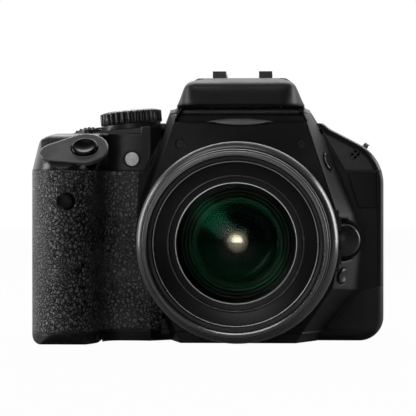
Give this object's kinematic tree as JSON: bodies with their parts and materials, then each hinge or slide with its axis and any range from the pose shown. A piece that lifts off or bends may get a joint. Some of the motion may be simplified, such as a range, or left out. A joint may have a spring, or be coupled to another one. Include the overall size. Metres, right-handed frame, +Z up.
{
  "type": "dslr camera",
  "caption": "Black single-lens reflex camera with a zoom lens: deep hand grip, prism hump with a flip-up flash, dials, swing-out screen, reflex mirror and shutter.",
  "frame": {"origin": "centre of the tripod socket's mouth, on the base, below the lens axis", "axes": "+Z up, out of the hot shoe; the lens points along -Y; +X is towards the side away from the grip"},
  "size_m": [0.1313, 0.1377, 0.1016],
  "materials": {
    "board": "circuit board",
    "body_black": "fine textured black moulding",
    "brass": "turned",
    "card": "moulded",
    "coated_glass": "coated lens glass",
    "curtain": "blackened blades",
    "dial_black": "satin black",
    "frame_black": "flat black",
    "gloss_black": "polished black",
    "grip_leather": "black leather grained rubber",
    "lens_black": "satin black",
    "lens_rubber": "ribbed rubber",
    "mirror": "front surface mirror",
    "mount_steel": "turned metal",
    "optic_glass": "clear",
    "rubber_black": "soft black rubber",
    "satin_grey": "satin dark grey",
    "screen_glass": "dark display glass",
    "screw_black": "blackened steel",
    "sensor": "filter glass over the sensor",
    "shoe_steel": "stamped metal",
    "top_black": "fine textured black moulding",
    "window": "frosted pale plastic"
  },
  "bodies": {
    "camera_body": {"front_cover": "body_black", "top_cover": "top_black", "rear_cover": "body_black", "base_cover": "body_black", "grip_rubber": "grip_leather", "body_rubber_pads": "grip_leather", "badge_plate": "gloss_black", "shutter_surround": "satin_grey", "front_windows": "window", "mount_ring": "mount_steel", "screws": "screw_black", "strap_lugs": "mount_steel", "tripod_socket": "brass", "mirror_box": "frame_black", "viewfinder_optics": "optic_glass", "eyecup": "rubber_black", "shutter_frame": "frame_black", "image_sensor": "sensor", "main_board": "board", "battery": "dial_black", "memory_card": "card", "hot_shoe": "shoe_steel"},
    "release": {"shutter_button": "gloss_black"},
    "front_wheel": {"main_dial": "dial_black"},
    "mode_selector": {"mode_dial": "dial_black"},
    "power_switch": {"power_lever": "dial_black"},
    "iso_key": {"iso_button": "dial_black"},
    "flash_key": {"flash_button": "dial_black"},
    "flash_lid": {"flash_head": "top_black", "flash_window": "window"},
    "lens_lock": {"lens_release_button": "dial_black"},
    "preview_key": {"depth_preview_button": "dial_black"},
    "mirror": {"reflex_mirror": "mirror"},
    "curtain": {"shutter_curtain": "curtain"},
    "screen": {"screen_hinge": "dial_black", "screen_housing": "body_black", "screen_glass": "screen_glass"},
    "diopter": {"diopter_dial": "dial_black"},
    "card_cover": {"card_door": "body_black"},
    "battery_cover": {"battery_door": "body_black"},
    "terminal_cover": {"terminal_door": "rubber_black"},
    "lens_body": {"lens_mount_plate": "mount_steel", "lens_barrel": "lens_black", "rear_elements": "coated_glass"},
    "af_selector": {"af_switch": "satin_grey"},
    "stabiliser_selector": {"stabiliser_switch": "satin_grey"},
    "zoom": {"zoom_ring": "lens_rubber"},
    "zoom_tube": {"inner_barrel": "lens_black", "name_ring": "lens_black", "front_element": "coated_glass"},
    "focus": {"focus_ring": "lens_rubber"},
    "menu_key": {"menu_button": "dial_black"},
    "info_key": {"info_button": "dial_black"},
    "live_view_key": {"live_view_button": "dial_black"},
    "zoom_key": {"zoom_button": "dial_black"},
    "ae_lock_key": {"ae_lock_button": "dial_black"},
    "playback_key": {"playback_button": "dial_black"},
    "erase_key": {"erase_button": "dial_black"},
    "cross_keys_key": {"cross_keys": "dial_black"},
    "set_key": {"set_button": "dial_black"}
  },
  "joints": [
    {"name": "shutter_press", "type": "slide", "parent": "camera_body", "child": "release", "axis": [0, 0.642, -0.7667], "range_m": [0, 0.0015], "stiffness_N_per_m": 500},
    {"name": "main_dial_turn", "type": "hinge", "parent": "camera_body", "child": "front_wheel", "pos_m": [-0.057, -0.006, 0.0685], "axis": [0, 1, 0], "continuous": true},
    {"name": "mode_dial_turn", "type": "hinge", "parent": "camera_body", "child": "mode_selector", "pos_m": [-0.0425, 0.005, 0.07926], "axis": [-0.0903, 0, 0.9959], "continuous": true},
    {"name": "power_lever_turn", "type": "hinge", "parent": "camera_body", "child": "power_switch", "pos_m": [-0.0425, 0.005, 0.07926], "axis": [0.0903, 0, -0.9959], "range_deg": [0, 30]},
    {"name": "iso_press", "type": "slide", "parent": "camera_body", "child": "iso_key", "axis": [0.0903, 0, -0.9959], "range_m": [0, 0.0007], "stiffness_N_per_m": 400},
    {"name": "flash_button_press", "type": "slide", "parent": "camera_body", "child": "flash_key", "axis": [-0.8566, 0.4088, -0.3148], "range_m": [0, 0.0007], "stiffness_N_per_m": 400},
    {"name": "preview_press", "type": "slide", "parent": "camera_body", "child": "preview_key", "axis": [-0.8097, 0.5605, 0.1741], "range_m": [0, 0.0007], "stiffness_N_per_m": 400},
    {"name": "flash_lift", "type": "hinge", "parent": "camera_body", "child": "flash_lid", "pos_m": [0, -0.003, 0.0962], "axis": [-1, 0, 0], "range_deg": [0, 65]},
    {"name": "lens_release_press", "type": "slide", "parent": "camera_body", "child": "lens_lock", "axis": [0, 1, 0], "range_m": [0, 0.002], "stiffness_N_per_m": 600},
    {"name": "mirror_flip", "type": "hinge", "parent": "camera_body", "child": "mirror", "pos_m": [0, 0.0046, 0.051], "axis": [-1, 0, 0], "range_deg": [0, 45], "stiffness_Nm_per_rad": 0.02},
    {"name": "curtain_drop", "type": "slide", "parent": "camera_body", "child": "curtain", "axis": [0, 0, -1], "range_m": [0, 0.018], "stiffness_N_per_m": 120},
    {"name": "screen_swing", "type": "hinge", "parent": "camera_body", "child": "screen", "pos_m": [0.0491, 0.0266, 0.0385], "axis": [0, 0, -1], "range_deg": [0, 175]},
    {"name": "diopter_turn", "type": "hinge", "parent": "camera_body", "child": "diopter", "pos_m": [-0.0226, 0.031, 0.0785], "axis": [0, 1, 0], "range_deg": [-120, 120]},
    {"name": "card_door_swing", "type": "hinge", "parent": "camera_body", "child": "card_cover", "pos_m": [-0.0771, 0.024, 0.038], "axis": [0, 0, -1], "range_deg": [0, 95]},
    {"name": "battery_door_swing", "type": "hinge", "parent": "camera_body", "child": "battery_cover", "pos_m": [-0.0528, -0.008, 0.0012], "axis": [0, -1, 0], "range_deg": [0, 100]},
    {"name": "terminal_door_swing", "type": "hinge", "parent": "camera_body", "child": "terminal_cover", "pos_m": [0.0517, 0.0085, 0.041], "axis": [0, 0, -1], "range_deg": [0, 100]},
    {"name": "lens_twist", "type": "hinge", "parent": "camera_body", "child": "lens_body", "pos_m": [0, -0.028, 0.0378], "axis": [0, 1, 0], "range_deg": [0, 60]},
    {"name": "af_switch_slide", "type": "slide", "parent": "lens_body", "child": "af_selector", "axis": [0, -1, 0], "range_m": [0, 0.003]},
    {"name": "stabiliser_switch_slide", "type": "slide", "parent": "lens_body", "child": "stabiliser_selector", "axis": [0, -1, 0], "range_m": [0, 0.003]},
    {"name": "zoom_turn", "type": "hinge", "parent": "lens_body", "child": "zoom", "pos_m": [0, -0.06, 0.0378], "axis": [0, 1, 0], "range_deg": [0, 75]},
    {"name": "zoom_slide", "type": "slide", "parent": "lens_body", "child": "zoom_tube", "axis": [0, -1, 0], "range_m": [0, 0.011]},
    {"name": "focus_turn", "type": "hinge", "parent": "zoom_tube", "child": "focus", "pos_m": [0, -0.086, 0.0378], "axis": [0, 1, 0], "range_deg": [0, 110]},
    {"name": "menu_press", "type": "slide", "parent": "camera_body", "child": "menu_key", "axis": [0, -1, 0], "range_m": [0, 0.0008], "stiffness_N_per_m": 400},
    {"name": "info_press", "type": "slide", "parent": "camera_body", "child": "info_key", "axis": [0, -1, 0], "range_m": [0, 0.0008], "stiffness_N_per_m": 400},
    {"name": "live_view_press", "type": "slide", "parent": "camera_body", "child": "live_view_key", "axis": [0, -1, 0], "range_m": [0, 0.0008], "stiffness_N_per_m": 400},
    {"name": "zoom_press", "type": "slide", "parent": "camera_body", "child": "zoom_key", "axis": [0, -1, 0], "range_m": [0, 0.0008], "stiffness_N_per_m": 400},
    {"name": "ae_lock_press", "type": "slide", "parent": "camera_body", "child": "ae_lock_key", "axis": [0, -1, 0], "range_m": [0, 0.0008], "stiffness_N_per_m": 400},
    {"name": "playback_press", "type": "slide", "parent": "camera_body", "child": "playback_key", "axis": [0, -1, 0], "range_m": [0, 0.0008], "stiffness_N_per_m": 400},
    {"name": "erase_press", "type": "slide", "parent": "camera_body", "child": "erase_key", "axis": [0, -1, 0], "range_m": [0, 0.0008], "stiffness_N_per_m": 400},
    {"name": "cross_keys_press", "type": "slide", "parent": "camera_body", "child": "cross_keys_key", "axis": [0, -1, 0], "range_m": [0, 0.0008], "stiffness_N_per_m": 400},
    {"name": "set_press", "type": "slide", "parent": "camera_body", "child": "set_key", "axis": [0, -1, 0], "range_m": [0, 0.0008], "stiffness_N_per_m": 400}
  ],
  "couplings": [
    {"joint": "zoom_slide", "follows": "zoom_turn", "m_per_rad": 0.0084}
  ]
}
